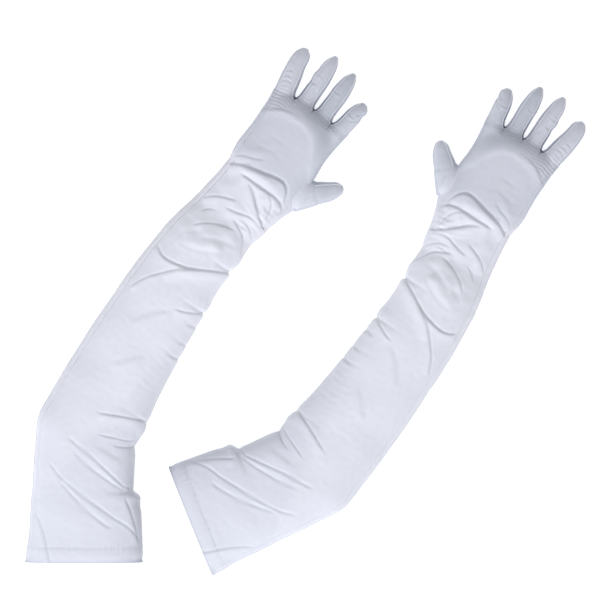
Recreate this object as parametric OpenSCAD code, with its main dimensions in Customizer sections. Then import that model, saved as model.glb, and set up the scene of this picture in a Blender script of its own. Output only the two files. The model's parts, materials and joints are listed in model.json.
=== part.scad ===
// A pair of opera gloves, lying palm side down on a flat surface.
// Each glove is a hollow shell of thin cloth: an upper sleeve, a forearm sleeve, a hand and five digits.
// A glove's own frame has its elbow at the origin, the upper sleeve along -Y, the thumb side at +X
// and the surface at z = 0. The right glove is the left one mirrored and turned.

/* [Sleeve] */
// Length of the upper sleeve, from the elbow to the edge of the cuff
upper_len = 137; // [120:1:160]
// Length of the forearm sleeve, from the elbow to the wrist
forearm_len = 282; // [270:1:300]
// Angle between the upper sleeve and the forearm, from straight
elbow_bend = 34.5; // [20:0.5:36]
// Angle between the forearm and the hand, from straight
wrist_bend = 8.5; // [0:0.5:12]
// Height that the sleeve stands above the surface at the elbow
sleeve_h = 36; // [30:1:42]
// Depth of the turned hem at the cuff
hem_depth = 15; // [10:1:20]

/* [Hand] */
// Height of the hand at the knuckle ridge
hand_h = 26; // [22:1:30]
// Height of a finger at its root
finger_h = 15; // [13:0.5:17]
// Length of the little finger, from its fork
little_len = 50; // [45:1:60]
// Length of the ring finger, from its fork
ring_len = 57; // [50:1:65]
// Length of the middle finger, from its fork
middle_len = 53; // [48:1:65]
// Length of the index finger, from its fork
index_len = 36; // [34:1:60]
// Length of the thumb, from its seam
thumb_len = 41; // [36:1:50]

/* [Cloth] */
// Thickness of the cloth shells
cloth = 1; // [0.8:0.1:1.2]
// Radius of a sewn seam's ridge
seam_r = 0.8; // [0.6:0.1:1]

/* [Pair] */
// Turn of the right glove against the left one
right_turn = 68; // [60:1:75]
// Distance between the two elbows across the pair
elbow_gap_x = 230; // [225:1:280]
// Distance between the two elbows along the pair
elbow_gap_y = 40; // [20:1:80]

/* [Hidden] */
DIGITS = ["little", "ring", "middle", "index"];

satin = [0.9, 0.91, 0.96];
lining = [0.84, 0.86, 0.93];
thread = [0.78, 0.8, 0.88];
rubber_white = [0.95, 0.94, 0.9];

// Where each glove's elbow stands in the pair.
left_elbow = [-221.6, -118.3];
right_elbow = left_elbow + [elbow_gap_x, 0] + [0, -elbow_gap_y];

// The elbow and the wrist turn on round joints: a convex end inside a hollow one.
elbow_r = 54;
wrist_r = 39;
joint_gap = 1.5;
// The upper sleeve's thumb side is cut lower, to leave the elbow room to bend.
elbow_room = 25;
// A digit's root stands this far from the line that it folds on, and so does the hand's edge.
fold_gap = 0.3;
// The gap between neighbouring digits at a fork.
fork_gap = 1;
// The gap between a seam's ridge and the cloth it lies on.
seam_gap = 0.1;

// Share of a shell's height at which its side seam runs, and how fast the underside flattens.
seam_share = 0.32;
underside = 1.5;
fullness = 0.85;

// Distance from the sleeve's axis to its little finger side and to its thumb side, by place along it.
upper_ulnar = [[-160, 68.5], [-112, 60], [-89, 60], [-60, 56], [-30, 54], [0, 53.5]];
upper_radial = [[-160, 56], [-136, 56], [-74, 53.5], [-62, 46], [-42, 46], [-20, 49], [0, 51]];
upper_height = [[-160, 29], [-90, 33], [0, sleeve_h]];
forearm_ulnar = [[-54, 50.5], [0, 51], [40, 53], [70, 55.5], [175, 55], [225, 50.5], [251, 44], [262, 37.5], [300, 37.5]];
forearm_radial = [[-54, 50], [25, 50.5], [50, 44], [100, 37.5], [140, 34], [180, 30], [215, 30], [240, 31.5], [300, 31.5]];
forearm_height = [[-54, sleeve_h], [20, sleeve_h], [150, 32], [230, 29], [270, 24], [300, 24]];
hand_ulnar = [[-35, 34], [-6, 34], [15, 38.5], [36, 45.5], [64, 48], [84, 51], [96, 53.5], [103, 56], [125, 56]];
hand_radial = [[-35, 32], [-4, 32], [8, 35], [27, 44.5], [45, 43], [62, 39], [76, 34.5], [88, 32.5], [125, 32.5]];
hand_height = [[-35, 24], [0, 24], [40, hand_h], [75, hand_h], [105, 18], [125, 16]];

// The forks and the two outer corners of the line of finger roots, from the little finger to the index.
roots = [[-56, 103], [-33.5, 112], [-11, 116], [11.5, 118.5], [32.5, 118.5]];
// The two ends of the thumb's seam: at the fork with the index finger, and at the heel of the thumb.
thumb_fork = [39.5, 62];
thumb_heel = [44.5, 23];
// The angle that the thumb points outward from the hand's axis.
thumb_turn = 32;
thumb_h = 16;

// Half width and height along a finger, as shares of those at its root.
finger_width = [[0, 1], [0.3, 0.96], [0.6, 0.94], [0.82, 0.8], [0.94, 0.52], [1, 0.18]];
finger_height = [[0, 1], [0.3, 0.93], [0.6, 0.84], [0.82, 0.68], [0.94, 0.5], [1, 0.32]];
thumb_width = [[0, 1], [0.35, 0.68], [0.65, 0.56], [0.86, 0.44], [0.96, 0.3], [1, 0.1]];
thumb_height = [[0, 1], [0.35, 0.88], [0.65, 0.78], [0.86, 0.66], [0.96, 0.5], [1, 0.32]];

// Angles round a shell: 0 at the thumb side, 90 on the back of the hand, 180 at the little finger side.
full_turn = [for (t = [0:18:180]) t, for (t = [202.5:22.5:337.5]) t];
// The same for what lies over a shell without passing under it.
over_top = [-20, for (t = [0:18:180]) t, 200];
up_to_seam = [-20, for (t = [0:18:162]) t, 172];
fourchette_half = 28;
cut_half = 1;
// How far each finger leans towards the thumb from the square of its root, in degrees.
finger_lean = [4.4, 1, 0, 1.5];

function mix(a, b, f) = a + (b - a) * f;
function inset_of(size, inset) = min(inset, 0.35 * size);

// One point of a shell, at angle t: how far to the side, and how high.
function side_at(t, ulnar, radial, inset) =
  (radial - ulnar) / 2 + ((radial + ulnar) / 2 - inset_of((radial + ulnar) / 2, inset)) * cos(t);
function height_at(t, h, inset) =
  let (seam_z = seam_share * h, thin = inset_of(seam_z, inset))
    sin(t) >= 0 ? seam_z + (h - seam_z - inset_of(h, inset)) * pow(sin(t), fullness)
                : seam_z - (seam_z - thin) * min(1, -underside * sin(t));

// Faces of a solid made of an outer and an inner grid of points, ring by ring.
function grid_faces(rings, n, closed) =
  let (last = closed ? n - 1 : n - 2, inner = rings * n) [
    for (i = [0:rings - 2], j = [0:last])
      let (a = i * n + j, b = i * n + (j + 1) % n, c = a + n, d = b + n)
        each [[a, b, d], [a, d, c], [inner + a, inner + d, inner + b], [inner + a, inner + c, inner + d]],
    for (j = [0:last])
      let (a = j, b = (j + 1) % n, c = (rings - 1) * n + j, d = (rings - 1) * n + (j + 1) % n)
        each [[a, inner + b, b], [a, inner + a, inner + b], [c, d, inner + d], [c, inner + d, inner + c]],
    if (!closed) for (i = [0:rings - 2])
      let (a = i * n, c = a + n, b = i * n + n - 1, d = b + n)
        each [[a, c, inner + c], [a, inner + c, inner + a], [b, inner + d, d], [b, inner + b, inner + d]]
  ];

module shell(outer, inner, closed) {
  n = len(outer[0]);
  polyhedron(
    points = [for (ring = outer) each ring, for (ring = inner) each ring],
    faces = grid_faces(len(outer), n, closed),
    convexity = 8
  );
}

// A round rod along a list of points, with a hexagonal section across direction "over" and up.
module rod(points, over, r) {
  last = len(points) - 1;
  rings = [for (p = points) [for (a = [0:60:300]) p + r * cos(a) * over + [0, 0, r * sin(a)]]];
  polyhedron(
    points = [for (ring = rings) each ring],
    faces = [
      for (i = [0:last - 1], j = [0:5])
        let (a = 6 * i + j, b = 6 * i + (j + 1) % 6) each [[a, b, b + 6], [a, b + 6, a + 6]],
      [5, 4, 3, 2, 1, 0],
      [for (j = [0:5]) 6 * last + j]
    ]
  );
}

// How far a round joint reaches from its centre, at distance u to the side.
function round_end(u, r) = sqrt(max(0, r * r - u * u));

// Ring of a sleeve or hand shell: tables are [ulnar, radial, height], and ends(u) gives both end places.
function section_ring(tables, ends, f, angles, inset) = [
  for (t = angles)
    let (y = settled(tables, ends, f, t, mix(ends[0][1], ends[1][1], f), 6))
      [side_at(t, lookup(y, tables[0]), lookup(y, tables[1]), inset), y, height_at(t, lookup(y, tables[2]), inset)]
];

// The place along the axis where the width there and the shape of the ends agree, in a few rounds.
function settled(tables, ends, f, t, y, rounds) =
  let (u = side_at(t, lookup(y, tables[0]), lookup(y, tables[1]), 0))
    rounds == 0 ? y
    : settled(tables, ends, f, t, mix(end_place(ends[0], u), end_place(ends[1], u), f), rounds - 1);

// An end is [kind, place of its corners on the axis, where its round centre is, radius].
function end_place(end, u) =
  end[0] == "flat" ? end[1]
  : end[0] == "round" ? end[2] - round_end(u, end[3])
  : end[0] == "elbow" ? -max(round_end(u, end[3]), u > 0 ? elbow_room : 0)
  : lookup(u, roots) - fold_gap;

cuff_end = ["flat", -upper_len];
upper_end = ["elbow", -15, 0, elbow_r + joint_gap];
forearm_start = ["round", -18, 0, elbow_r];
forearm_end = ["round", forearm_len - 16, forearm_len, wrist_r + joint_gap];
hand_start = ["round", -18, 0, wrist_r];
hand_end = ["roots", 112];

upper_tables = [upper_ulnar, upper_radial, upper_height];
forearm_tables = [forearm_ulnar, forearm_radial, forearm_height];
hand_tables = [hand_ulnar, hand_radial, hand_height];

module sleeve(tables, ends, shares) {
  shell(
    [for (f = shares) section_ring(tables, ends, f, full_turn, 0)],
    [for (f = shares) section_ring(tables, ends, f, full_turn, cloth)],
    true
  );
}

// The seam's ridge along the little finger side of a section.
module section_seam(tables, ends, shares) {
  edge = [for (f = shares) section_ring(tables, ends, f, [180], 0)[0] - [seam_r + 2 * seam_gap, 0, 0]];
  color(thread) rod(trimmed(edge), [1, 0, 0], seam_r);
}

// The same line of points with its two ends drawn back by a tenth of the end stretches.
function trimmed(line) =
  let (last = len(line) - 1) [
    mix(line[0], line[1], 0.1),
    for (i = [1:last - 1]) line[i],
    mix(line[last], line[last - 1], 0.1)
  ];

upper_shares = [0, 0.2, 0.45, 0.6, 0.72, 0.86, 1];

module upper_sleeve() {
  color(satin) sleeve(upper_tables, [cuff_end, upper_end], upper_shares);
}

module upper_seam() {
  section_seam(upper_tables, [cuff_end, upper_end], upper_shares);
}

// A band inside the cuff: depth from the cuff's edge, and the layers of cloth outside it.
module cuff_band(low, high, from, thick, angles = full_turn, closed = true) {
  ends = [["flat", -upper_len + low], ["flat", -upper_len + high]];
  shell(
    [for (f = [0, 1]) section_ring(upper_tables, ends, f, angles, from)],
    [for (f = [0, 1]) section_ring(upper_tables, ends, f, angles, from + thick)],
    closed
  );
}

elastic_thick = 0.8;

module hem_facing() {
  color(lining) cuff_band(0, hem_depth, cloth + elastic_thick + 2 * seam_gap, cloth);
}

module hem_elastic() {
  color(rubber_white) cuff_band(3, hem_depth - 3, cloth + seam_gap, elastic_thick);
}

// A line of thread over the sleeve, just outside it, where the hem is sewn down.
module hem_stitching() {
  low = hem_depth - 1.4;
  color(thread) cuff_band(low, low + 0.6, -0.75, 0.4, up_to_seam, false);
}

forearm_shares = [for (f = [0:0.1:0.8]) f, 0.88, 0.94, 1];

module forearm_sleeve() {
  color(satin) sleeve(forearm_tables, [forearm_start, forearm_end], forearm_shares);
}

module forearm_seam() {
  section_seam(forearm_tables, [forearm_start, forearm_end], forearm_shares);
}

// Angles on the back of the hand whose places to the side divide each finger's root in three.
root_sides = [
  for (i = [3:-1:0]) each [for (f = [0:1 / 3:0.99]) mix(roots[i + 1][0], roots[i][0], f)],
  roots[0][0]
];
root_centre = (roots[4][0] + roots[0][0]) / 2;
root_half = (roots[4][0] - roots[0][0]) / 2;
root_angles = [for (u = root_sides) acos(max(-1, min(1, (u - root_centre) / root_half)))];
back_angles = [0, 9, for (i = [1:11]) root_angles[i], 171, 180];

// Opening for the thumb: the angle at which the back and the palm start, by place along the hand.
thumb_opening = [[20, 0], [27, 12], [35, 18], [50, 18], [58, 12], [65, 0]];
hand_shares = [0, 0.22, 0.36, 0.46, 0.55, 0.62, 0.7, 0.82, 0.92, 1];

function opened(angles, y, sign) =
  let (start = lookup(y, thumb_opening)) [for (t = angles) start + t * (180 - start) / 180];

function hand_ring(f, inset, below) =
  let (
    y = mix(hand_start[1], hand_end[1], f),
    angles = opened(back_angles, y),
    round = below ? [for (t = angles) 360 - t] : angles
  )
    section_ring(hand_tables, [hand_start, hand_end], f, round, inset);

module hand_panel(below) {
  translate([0, 0, below ? 0 : seam_gap]) shell(
    [for (f = hand_shares) hand_ring(f, below ? cloth : 0, below)],
    [for (f = hand_shares) hand_ring(f, below ? 0 : cloth, below)],
    false
  );
}

module hand_back() {
  color(satin) hand_panel(false);
}

module hand_palm() {
  color(satin) hand_panel(true);
}

module hand_seam() {
  section_seam(hand_tables, [hand_start, hand_end], hand_shares);
}

// Ring of a digit of length l, half width w and height h at its root, at share f of its length.
function digit_ring(l, w, h, lean, f, angles, inset) = [
  for (t = angles)
    let (half = w * lookup(f, finger_width), shift = l * f * tan(lean))
      [shift + side_at(t, half, half, inset), fold_gap + l * f, height_at(t, h * lookup(f, finger_height), inset)]
];

finger_shares = [0, 0.3, 0.6, 0.82, 0.94, 1];
finger_len = [little_len, ring_len, middle_len, index_len];

module finger_strip(i, from, to) {
  l = finger_len[i];
  w = norm(roots[i + 1] - roots[i]) / 2 - fork_gap / 2;
  steps = max(2, round((to - from) / 25));
  angles = [for (k = [0:steps]) mix(from, to, k / steps)];
  color(satin) shell(
    [for (f = finger_shares) digit_ring(l, w, finger_h, finger_lean[i], f, angles, 0)],
    [for (f = finger_shares) digit_ring(l, w, finger_h, finger_lean[i], f, angles, cloth)],
    false
  );
}

// The little finger has no fourchette on its outer side and the index finger none on its thumb side.
module finger_back(i) {
  finger_strip(i, i == 3 ? cut_half / 2 : fourchette_half + cut_half,
    i == 0 ? 180 - cut_half / 2 : 180 - fourchette_half - cut_half);
}

module finger_palm(i) {
  finger_strip(i, i == 0 ? 180 + cut_half / 2 : 180 + fourchette_half + cut_half,
    i == 3 ? 360 - cut_half / 2 : 360 - fourchette_half - cut_half);
}

module radial_fourchette(i) {
  finger_strip(i, -fourchette_half, fourchette_half);
}

module ulnar_fourchette(i) {
  finger_strip(i, 180 - fourchette_half, 180 + fourchette_half);
}

module little_seam() {
  w = norm(roots[1] - roots[0]) / 2 - fork_gap / 2;
  edge = [
    for (f = [0, 0.3, 0.6, 0.82, 0.94])
      let (p = digit_ring(little_len, w, finger_h, finger_lean[0], f, [180], 0)[0])
        p - [seam_r + seam_gap, 0, 0]
  ];
  color(thread) rod(edge, [1, 0, 0], seam_r);
}

// The thumb leans back from its slanting seam, so its rings turn from the seam's line to its own axis.
thumb_mid = (thumb_fork + thumb_heel) / 2;
thumb_half = norm(thumb_fork - thumb_heel) / 2;
seam_turn = atan2(thumb_fork[1] - thumb_heel[1], thumb_heel[0] - thumb_fork[0]);
thumb_full_turn = [for (t = [0:24:360 - 24]) t];

function thumb_ring(f, inset, angles) =
  let (
    half = (thumb_half - 1) * lookup(f, thumb_width),
    lean = mix(90 - seam_turn, 90 - thumb_turn, min(1, 1.6 * f)),
    centre = thumb_mid + [sin(seam_turn), cos(seam_turn)] * 1.5 * fold_gap
      + [sin(thumb_turn), cos(thumb_turn)] * thumb_len * f
  )
    [for (t = angles)
      let (u = side_at(t, half, half, inset))
        [centre[0] + u * sin(lean), centre[1] - u * cos(lean), height_at(t, thumb_h * lookup(f, thumb_height), inset)]];

thumb_shares = [0, 0.2, 0.42, 0.65, 0.86, 0.96, 1];

module thumb() {
  color(satin) shell(
    [for (f = thumb_shares) thumb_ring(f, 0, thumb_full_turn)],
    [for (f = thumb_shares) thumb_ring(f, cloth, thumb_full_turn)],
    true
  );
}

module thumb_seam() {
  color(thread) shell(
    [for (f = [0.01, 0.035]) thumb_ring(f, -0.5, over_top)],
    [for (f = [0.01, 0.035]) thumb_ring(f, -0.1, over_top)],
    false
  );
}

// Frames of the moving bodies, nested as the bodies are.
module in_forearm() {
  rotate([0, 0, -elbow_bend]) children();
}

module in_hand() {
  in_forearm() translate([0, forearm_len, 0]) rotate([0, 0, -wrist_bend]) children();
}

module in_finger(i) {
  a = roots[i];
  b = roots[i + 1];
  in_hand() translate([(a[0] + b[0]) / 2, (a[1] + b[1]) / 2, 0])
    rotate([0, 0, atan2(b[1] - a[1], b[0] - a[0])]) children();
}

module in_side(side) {
  if (side == "left") translate([left_elbow[0], left_elbow[1], 0]) children();
  else translate([right_elbow[0], right_elbow[1], 0]) rotate([0, 0, -right_turn]) mirror([1, 0, 0]) children();
}

for (side = ["left", "right"]) {
  in_side(side) upper_sleeve();
  in_side(side) upper_seam();
  in_side(side) hem_facing();
  in_side(side) hem_elastic();
  in_side(side) hem_stitching();
  in_side(side) in_forearm() forearm_sleeve();
  in_side(side) in_forearm() forearm_seam();
  in_side(side) in_hand() hand_back();
  in_side(side) in_hand() hand_palm();
  in_side(side) in_hand() hand_seam();
  for (i = [0:3]) {
    in_side(side) in_finger(i) finger_back(i);
    in_side(side) in_finger(i) finger_palm(i);
  }
  for (i = [0:2])
    in_side(side) in_finger(i) radial_fourchette(i);
  for (i = [1:3])
    in_side(side) in_finger(i) ulnar_fourchette(i);
  in_side(side) in_finger(0) little_seam();
  in_side(side) in_hand() thumb();
  in_side(side) in_hand() thumb_seam();
}
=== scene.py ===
"""Looks of a pair of long satin gloves, lying palm down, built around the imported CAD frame."""
import json
import math

import bpy
import numpy as np
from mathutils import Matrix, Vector
from mathutils.bvhtree import BVHTree

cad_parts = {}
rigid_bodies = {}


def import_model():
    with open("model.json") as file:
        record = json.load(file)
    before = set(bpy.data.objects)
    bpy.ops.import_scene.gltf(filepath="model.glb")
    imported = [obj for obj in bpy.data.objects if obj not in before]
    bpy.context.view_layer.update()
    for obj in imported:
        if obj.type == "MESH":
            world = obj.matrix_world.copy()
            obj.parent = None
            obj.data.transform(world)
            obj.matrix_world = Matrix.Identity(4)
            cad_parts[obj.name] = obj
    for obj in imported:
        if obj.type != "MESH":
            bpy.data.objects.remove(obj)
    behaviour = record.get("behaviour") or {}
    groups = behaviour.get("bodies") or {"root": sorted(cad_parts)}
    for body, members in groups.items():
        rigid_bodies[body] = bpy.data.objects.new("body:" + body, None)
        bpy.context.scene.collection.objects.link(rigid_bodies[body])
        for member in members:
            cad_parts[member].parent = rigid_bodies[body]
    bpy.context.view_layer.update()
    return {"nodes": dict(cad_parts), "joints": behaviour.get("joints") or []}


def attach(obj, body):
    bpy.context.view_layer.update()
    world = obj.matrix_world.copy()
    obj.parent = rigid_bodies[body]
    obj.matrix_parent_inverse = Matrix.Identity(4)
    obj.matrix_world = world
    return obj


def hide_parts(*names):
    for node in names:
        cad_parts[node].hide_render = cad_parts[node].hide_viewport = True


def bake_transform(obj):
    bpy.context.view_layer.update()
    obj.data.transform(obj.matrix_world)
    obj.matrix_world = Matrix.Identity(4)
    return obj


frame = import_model()

# ---- sizes, in millimetres and degrees
MM = 0.001
SIDES = ("left", "right")
FINGERS = ("little", "ring", "middle", "index")

elbow_bend = 34.5  # between the two stretches of the sleeve as it lies
wrist_bend = 8.5  # between the forearm and the hand
split_share = 0.46  # of the forearm's length, where the elbow's cloth ends and the wrist's begins
ring_gap = 0.85  # between two rings of the cloth's mesh
across_top = 128  # steps across the upper side, a quarter of them for each finger
across_under = 48  # steps across the underside
finger_top = across_top // 4
finger_under = across_under // 4

top_form = 2.7  # exponent of the upper side's outline: 2 is round, more is flatter
under_form = 3.2
finger_form = 2.2
side_share = 0.32  # height of the widest line, as a share of the whole height
rest_gap = 0.25  # the underside's height over the surface below

hem_depth = 15.0
hem_turn = 0.55  # radius of the cloth's fold at the hem
lining_gap = 1.1  # the turned-in hem lies this far inside the sleeve
elastic_gap = 0.6

elbow_zone = 32.0  # the cloth bends within this distance of the elbow and of the wrist
wrist_zone = 24.0
digit_zone = 13.0  # and along this much of a finger from its root
thumb_zone = 15.0

fourchette_steps = 8  # the side strip's share of a finger's upper steps
seam_place = 5  # step of the side seam's ridge, counted from the outer edge
fork_reach = 15.0  # the dips between the fingers begin this far before their roots
thumb_lean = 32.0  # the thumb's axis from the line across its root
strip_width = 4.6  # of the side seam's turned edges, seen as a strip along the glove's edge
# Ridges of seams: half their width and height. Stitches: distance from one to the next and length.
sleeve_ridge = (0.95, 0.55)
little_ridge = (0.7, 0.4)
finger_ridge = (0.65, 0.5)
thumb_ridge = (0.8, 0.5)
overcast = (2.6, 1.9)
overcast_slant = 0.9  # radians from the run of the seam
hem_stitch = (3.0, 2.1)
thread_width = 0.42
edge_painted_shade = 1.15  # painted shade along the sleeve's and the digits' edges and undersides, where the cloth turns away from the light
seam_painted_shade = 0.0  # no painted shade on the seams' ridges, so they show as pale rims, a painted highlight, against the painted shade of the cloth beside them
deepest_painted_shade = 2.1  # the deepest painted shade, on the strips' cloth round the forks, where shade falls between the fingers
hem_painted_shade = 0.5  # painted shade along the hem's fold
corner_painted_shade = 0.8  # more painted shade at its two ends, where the edges meet it
# The seam round a fork on the back of the hand: rings before the fingers' roots, steps from the fork.
FORK_RUN = [(0, -8), (1, -8), (2, -7), (3, -5), (4, -3), (5, 0), (4, 3), (3, 5), (2, 7), (1, 8), (0, 8)]


# ---- small helpers
def turn(degrees):
    a = math.radians(degrees)
    return np.array([[math.cos(a), -math.sin(a)], [math.sin(a), math.cos(a)]])


def ease(x, low=0.0, high=1.0):
    t = np.clip((np.asarray(x, float) - low) / (high - low), 0, 1)
    return t * t * (3 - 2 * t)


def length_along(points):
    return np.concatenate([[0], np.cumsum(np.linalg.norm(np.diff(points, axis=0), axis=1))])


def softened(rows, reach):
    """Rows smoothed by a bell of that many steps, with both ends kept in place."""
    n = max(1, int(3 * reach))
    bell = np.exp(-0.5 * (np.arange(-n, n + 1) / reach) ** 2)
    padded = np.concatenate([2 * rows[0] - rows[n:0:-1], rows, 2 * rows[-1] - rows[-2:-n - 2:-1]])
    return np.stack([np.convolve(column, bell / bell.sum(), "valid") for column in padded.T], axis=1)


def resampled(at, fine, rows):
    """Rows that stand at places at, read at the places fine."""
    return np.stack([np.interp(fine, at, column) for column in rows.T], axis=1)


def spread(rows, step, reach):
    """Rows (left x, left y, right x, right y, height) made even along their edges, then softened."""
    middle = (rows[:, 0:2] + rows[:, 2:4]) / 2
    at = (length_along(rows[:, 0:2]) + length_along(rows[:, 2:4])) / 2 + 0.001 * length_along(middle)
    even = resampled(at, np.linspace(0, at[-1], max(4, int(round(at[-1] / step)) + 1)), rows)
    return softened(even, min(reach / step, (len(even) - 3) / 3))


def steps_over(n, form):
    """Places from -1 to 1 across a strip, closer together where its side is steep."""
    c = -np.cos(np.linspace(0, math.pi, n + 1))
    return np.sign(c) * np.abs(c) ** (2 / form)


def arch(x, form):
    """Height from 0 at the sides to 1 in the middle, at places x from -1 to 1."""
    return np.clip(1 - np.abs(x) ** form, 0, 1) ** (1 / form)


def meeting(p, q, r, s):
    """The point where the line p-q meets the line r-s."""
    a = np.array([q - p, r - s]).T
    f = np.linalg.solve(a, r - p)
    return p + f[0] * (q - p)


# ---- where the frame is
joints = {j["name"]: j for j in frame["joints"]}


def joint_place(name):
    return np.array(joints[name]["pos_m"][:2], float) / MM


class Place:
    """A flat frame: a point and a turn, with x to the thumb side and y to the finger tips."""

    def __init__(self, origin, degrees, mirrored=False):
        self.origin = np.asarray(origin, float)
        self.degrees = degrees
        self.axes = turn(degrees) @ np.diag([-1.0 if mirrored else 1.0, 1.0])

    def out(self, points):
        return np.asarray(points, float) @ self.axes.T + self.origin

    def into(self, points):
        return (np.asarray(points, float) - self.origin) @ self.axes


def glove_place(side):
    """The glove's own frame in the row: the elbow is its origin and the upper sleeve lies along -y."""
    elbow = joint_place(side + "_elbow")
    arm = joint_place(side + "_wrist") - elbow
    seen = math.degrees(math.atan2(arm[1], arm[0]))
    mirrored = side == "right"
    return Place(elbow, seen - (90 + elbow_bend if mirrored else 90 - elbow_bend), mirrored)


places = {side: glove_place(side) for side in SIDES}
home = places["left"]
forearm_length = float(np.linalg.norm(joint_place("left_wrist") - joint_place("left_elbow")))
upper = Place([0, 0], 0)
forearm = Place([0, 0], -elbow_bend)
wrist = forearm.out([0, forearm_length])
hand = Place(wrist, -elbow_bend - wrist_bend)
FRAMES = {"upper": upper, "forearm": forearm, "hand": hand}


def digit_place(name):
    """A finger's or the thumb's frame: its root's middle, with x along the root and y to the tip."""
    joint = joints["left_" + name + "_fold"]
    axis = home.axes.T @ np.array(joint["axis"][:2], float)
    return Place(home.into(joint_place(joint["name"])), math.degrees(math.atan2(axis[1], axis[0])))


digits = {name: digit_place(name) for name in FINGERS + ("thumb",)}
FRAMES.update(digits)


# ---- what the CAD outlines measure
def node_edges(names):
    """Both ends of each edge of these CAD nodes, in the left glove's frame."""
    first, second = [], []
    for name in names:
        mesh = frame["nodes"][name].data
        points = np.array([v.co for v in mesh.vertices], float) / MM
        points[:, :2] = home.into(points[:, :2])
        ends = np.array([e.vertices[:] for e in mesh.edges])
        first.append(points[ends[:, 0]])
        second.append(points[ends[:, 1]])
    return np.concatenate(first), np.concatenate(second)


def slices(names, place, stations):
    """For each station y in that frame: the outline's lowest x, its highest x and its height there."""
    first, second = node_edges(names)
    a, b = place.into(first[:, :2]), place.into(second[:, :2])
    found = []
    for y in stations:
        cut = (a[:, 1] - y) * (b[:, 1] - y) < 0
        f = (y - a[cut, 1]) / (b[cut, 1] - a[cut, 1])
        x = a[cut, 0] + f * (b[cut, 0] - a[cut, 0])
        z = first[cut, 2] + f * (second[cut, 2] - first[cut, 2])
        found.append([x.min(), x.max(), z.max()])
    return np.array(found)


def rows_at(names, place, stations):
    """Rows (left x, left y, right x, right y, height) in the glove's frame."""
    stations = np.asarray(stations, float)
    cuts = slices(names, place, stations)
    left = place.out(np.stack([cuts[:, 0], stations], axis=1))
    right = place.out(np.stack([cuts[:, 1], stations], axis=1))
    return np.concatenate([left, right, cuts[:, 2:3]], axis=1)


def reach_of(names, place):
    """How far down and up these nodes reach along the frame's y."""
    y = place.into(np.concatenate(node_edges(names))[:, :2])[:, 1]
    return y.min(), y.max()


hem_end = reach_of(["left_upper_sleeve"], upper)[0]


def puffed(rows, frames):
    """Rows with both edges moved out or in by the PUFFS of these frames."""
    rows = rows.copy()
    for column, side in ((2, 1), (0, -1)):
        edge = rows[:, column:column + 2].copy()
        run = np.gradient(edge, axis=0)
        run /= np.linalg.norm(run, axis=1)[:, None]
        out = side * np.stack([run[:, 1], -run[:, 0]], axis=1)
        for where in frames:
            local = FRAMES[where].into(edge)
            for puff_side, y, far, reach in PUFFS[where]:
                if puff_side == side:
                    share = np.exp(-((local[:, 1] - y) / reach) ** 2) * (np.abs(local[:, 0]) < 80)
                    rows[:, column:column + 2] += out * (far * share)[:, None]
    return rows


def sleeve_rows():
    """The sleeve and the start of the hand, from the hem to the thumb's root, as rows across the glove."""
    names = {"upper": ["left_upper_sleeve"], "forearm": ["left_forearm_sleeve"],
             "hand": ["left_hand_back", "left_hand_palm"]}
    low = rows_at(names["upper"], upper, np.arange(hem_end + 0.5, -56, 4))
    low[0, [1, 3]] = hem_end
    near = rows_at(names["upper"], upper, [-40, -32])
    fore = rows_at(names["forearm"], forearm, np.arange(22, 254, 6))
    high = rows_at(names["hand"], hand, np.arange(10, 46, 6))
    outer = meeting(near[0, 0:2], near[1, 0:2], fore[0, 0:2], fore[1, 0:2])
    inner = meeting(near[0, 2:4], near[1, 2:4], fore[0, 2:4], fore[1, 2:4])
    bend = np.concatenate([outer, inner, [fore[0, 4]]])[None, :]
    before = near[1:2].copy()
    before[:, [1, 3]] = -22
    before[:, 2] = 0.5 * (near[1, 2] + inner[0])
    before[:, 4] = fore[0, 4]
    return np.concatenate([low, before, bend, fore, high])


# ---- folds of the cloth
# A lap is a fold that leans over its own dark line. STYLES says how: height of its crest, depth of its crease,
# width of its steep side and width of its gentle side.
STYLES = {
    "bold": (1.9, 0.85, 1.9, 7.0),
    "fall": (1.2, 0.7, 1.5, 6.5),
    "pleat": (0.9, 0.52, 1.45, 6.0),
    "line": (0.26, 0.72, 1.5, 3.4),
    "thin": (0.5, 0.38, 1.25, 4.5),
    "fine": (0.16, 0.72, 1.5, 4.0),
    "crimp": (0.35, 0.3, 0.9, 2.0),
    "dent": (0.3, 0.45, 1.6, 2.4),
    "soft": (0.55, 0.22, 3.2, 9.0),
    "faint": (0.22, 0.2, 2.4, 6.0),
}

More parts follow.
